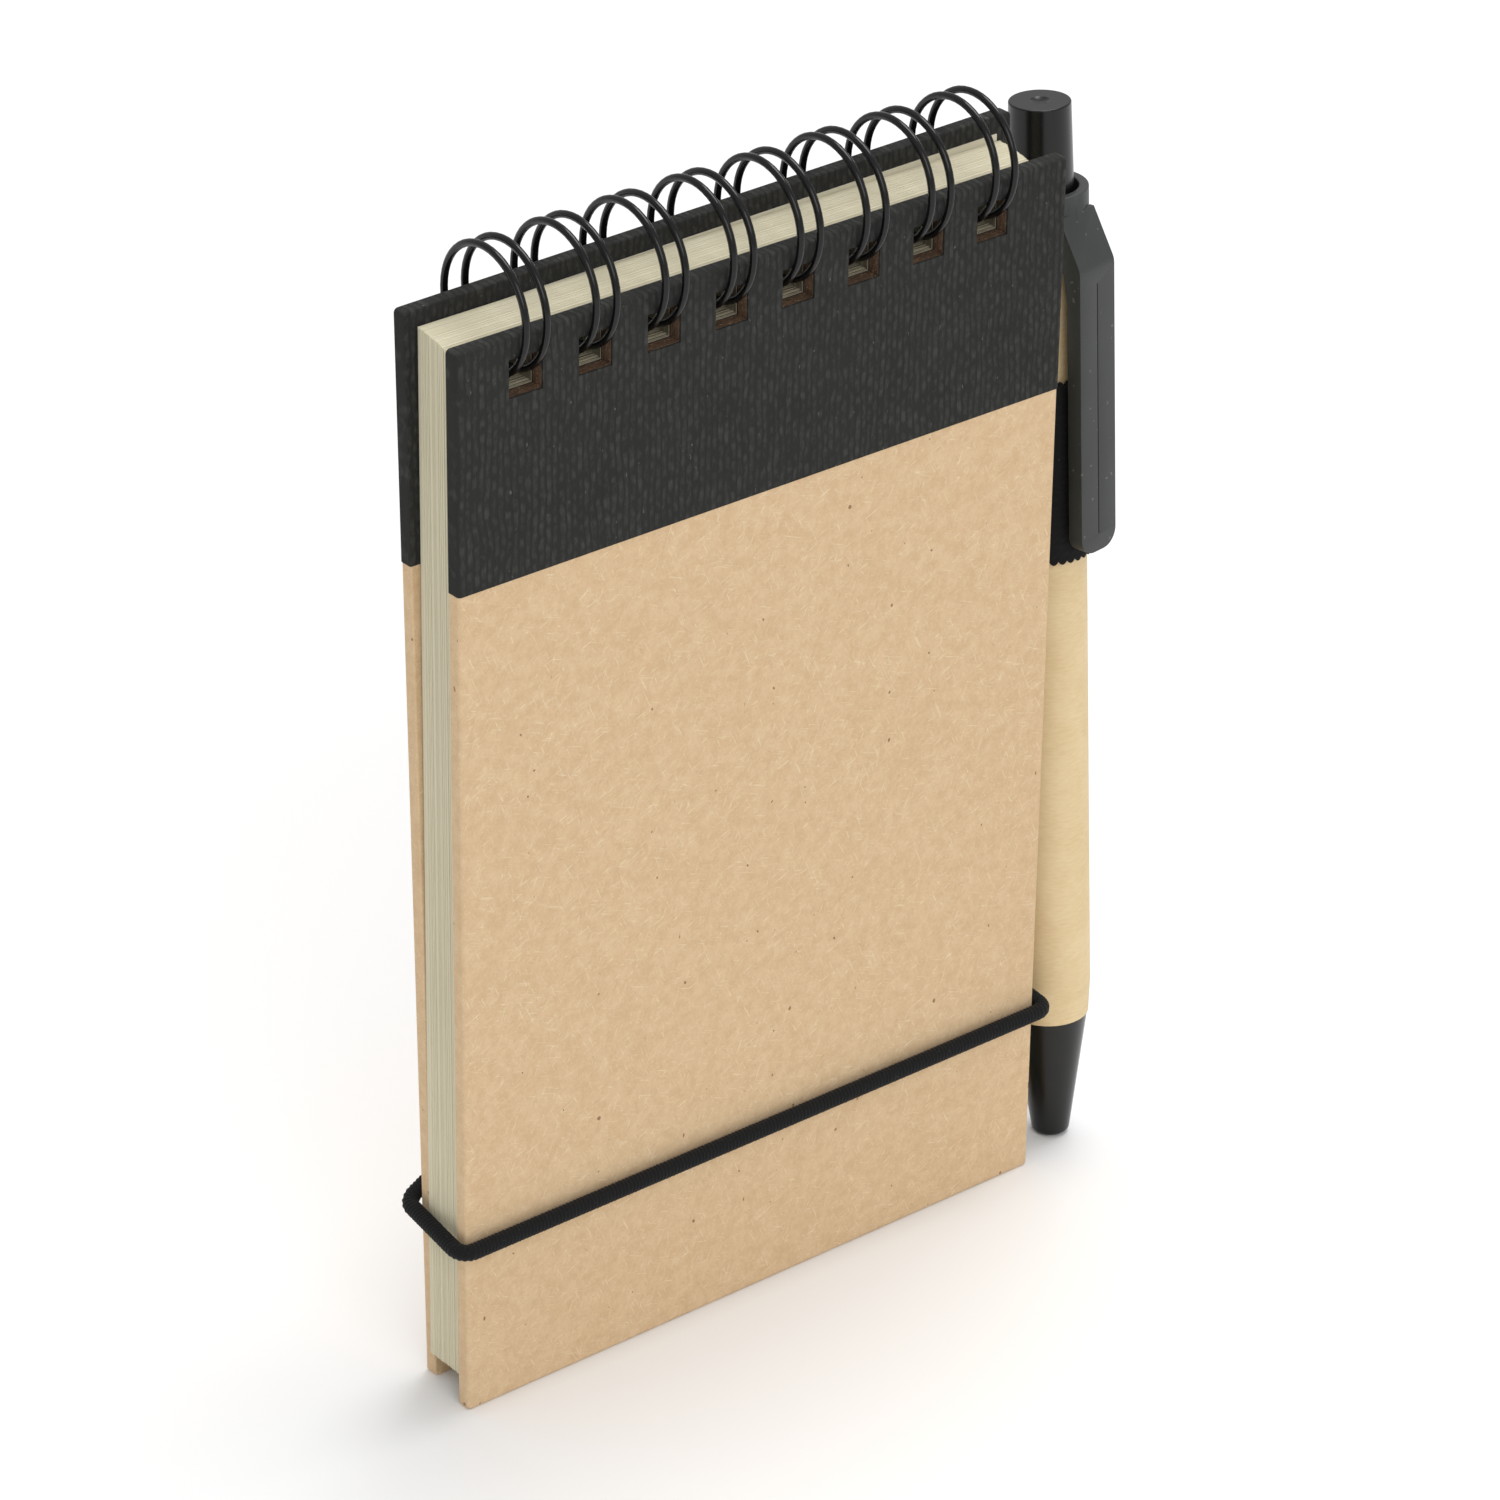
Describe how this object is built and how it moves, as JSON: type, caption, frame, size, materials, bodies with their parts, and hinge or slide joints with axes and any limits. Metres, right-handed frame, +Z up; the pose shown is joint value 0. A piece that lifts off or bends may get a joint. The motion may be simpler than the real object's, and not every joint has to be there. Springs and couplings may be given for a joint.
{
  "type": "pocket sketchbook with pen",
  "caption": "Pocket top-bound sketchbook with twin-loop wire, flecked kraft covers with a cloth band, elastic closure cord and a click pen in a ribbon loop.",
  "frame": {"origin": "middle of the footprint, on the surface that the covers' bottom edges stand on", "axes": "+Z up along the covers towards the wire binding, -Y out of the front cover, +X towards the pen"},
  "size_m": [0.0919, 0.0186, 0.1297],
  "materials": {
    "grey_board": "matt, cut edges fibrous",
    "kraft_paper": "matt, flecked",
    "book_cloth": "matt, ribbed weave",
    "lining_paper": "matt",
    "leaf_paper": "matt",
    "coated_wire": "gloss nylon coating",
    "braided_elastic": "matt, braided",
    "ribbon_elastic": "matt, knitted",
    "crimp_steel": "plain",
    "paper_tube": "matt, smooth",
    "black_plastic": "semi-gloss",
    "clip_plastic": "satin",
    "refill_plastic": "translucent white",
    "tip_brass": "turned",
    "spring_steel": "drawn wire"
  },
  "bodies": {
    "back_cover": {"back_board": "grey_board", "back_kraft": "kraft_paper", "back_cloth": "book_cloth", "back_lining": "lining_paper", "leaves_21_to_30": "leaf_paper", "leaves_31_to_40": "leaf_paper", "leaves_41_to_50": "leaf_paper", "leaves_51_to_60": "leaf_paper", "leaves_61_to_70": "leaf_paper", "twin_loop_wire": "coated_wire", "cord_crimp_left": "crimp_steel", "cord_crimp_right": "crimp_steel", "pen_loop": "ribbon_elastic"},
    "front_cover": {"front_board": "grey_board", "front_kraft": "kraft_paper", "front_cloth": "book_cloth", "front_lining": "lining_paper"},
    "turned_leaves": {"leaves_01_to_10": "leaf_paper", "leaves_11_to_20": "leaf_paper"},
    "band": {"elastic_cord": "braided_elastic"},
    "pen": {"pen_nose": "black_plastic", "pen_barrel": "paper_tube", "pen_clip": "clip_plastic", "pen_spring": "spring_steel"},
    "button": {"pen_button": "black_plastic"},
    "refill": {"pen_cam": "refill_plastic", "pen_refill_tube": "refill_plastic", "pen_refill_tip": "tip_brass"}
  },
  "joints": [
    {"name": "front_cover_turn", "type": "hinge", "parent": "back_cover", "child": "front_cover", "pos_m": [0, -0.00222, 0.1227], "axis": [-1, 0, 0], "range_deg": [0, 165]},
    {"name": "leaf_turn", "type": "hinge", "parent": "back_cover", "child": "turned_leaves", "pos_m": [0, -0.00222, 0.1227], "axis": [-1, 0, 0], "range_deg": [0, 156.75]},
    {"name": "band_release", "type": "hinge", "parent": "back_cover", "child": "band", "pos_m": [0, 0.00295, 0.027], "axis": [1, 0, 0], "range_deg": [0, 123.75], "deforming": ["elastic_cord"]},
    {"name": "pen_slide", "type": "slide", "parent": "back_cover", "child": "pen", "axis": [0, 0.0675, 0.9977], "range_m": [0, 0.1]},
    {"name": "button_press", "type": "slide", "parent": "pen", "child": "button", "axis": [0, -0.0675, -0.9977], "range_m": [0, 0.005], "stiffness_N_per_m": 500, "springref_m": -0.005, "deforming": ["pen_spring"]},
    {"name": "refill_advance", "type": "slide", "parent": "pen", "child": "refill", "axis": [0, -0.0675, -0.9977], "range_m": [0, 0.005]}
  ],
  "couplings": [
    {"joint": "leaf_turn", "follows": "front_cover_turn", "ratio": 0.95},
    {"joint": "band_release", "follows": "front_cover_turn", "ratio": 0.75},
    {"joint": "refill_advance", "follows": "button_press", "ratio": 1}
  ]
}
